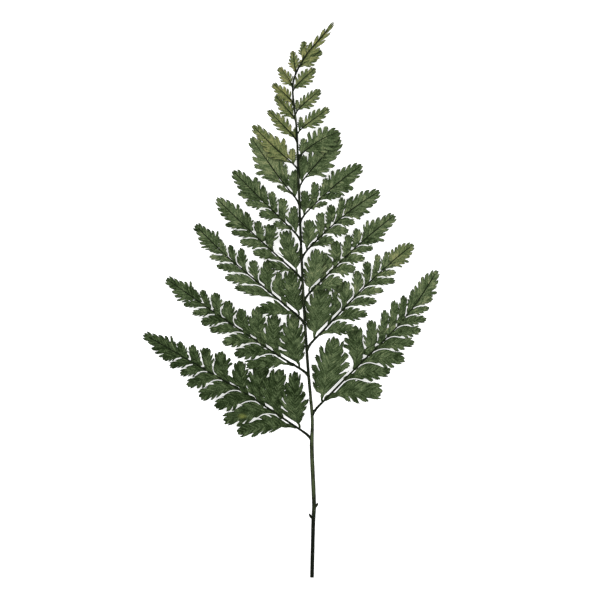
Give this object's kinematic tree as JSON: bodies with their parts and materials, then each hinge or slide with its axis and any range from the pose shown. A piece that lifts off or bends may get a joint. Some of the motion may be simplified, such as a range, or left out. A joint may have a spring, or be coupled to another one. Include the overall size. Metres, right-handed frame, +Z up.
{
  "type": "dried fern frond",
  "caption": "Long dried fern frond with a thin stalk and pairs of finely cut side leaves that shorten to the tip, lying flat.",
  "frame": {"origin": "on the surface that the frond lies on, under the middle of its length and width", "axes": "+Y from the cut end of the stalk to the tip of the frond, +X to the frond's right seen from above, +Z up from the surface"},
  "size_m": [0.236, 0.4448, 0.0106],
  "materials": {
    "leaf_green": "dry leaf, matt with a faint sheen"
  },
  "bodies": {
    "root": {"frond": "leaf_green"}
  },
  "joints": []
}
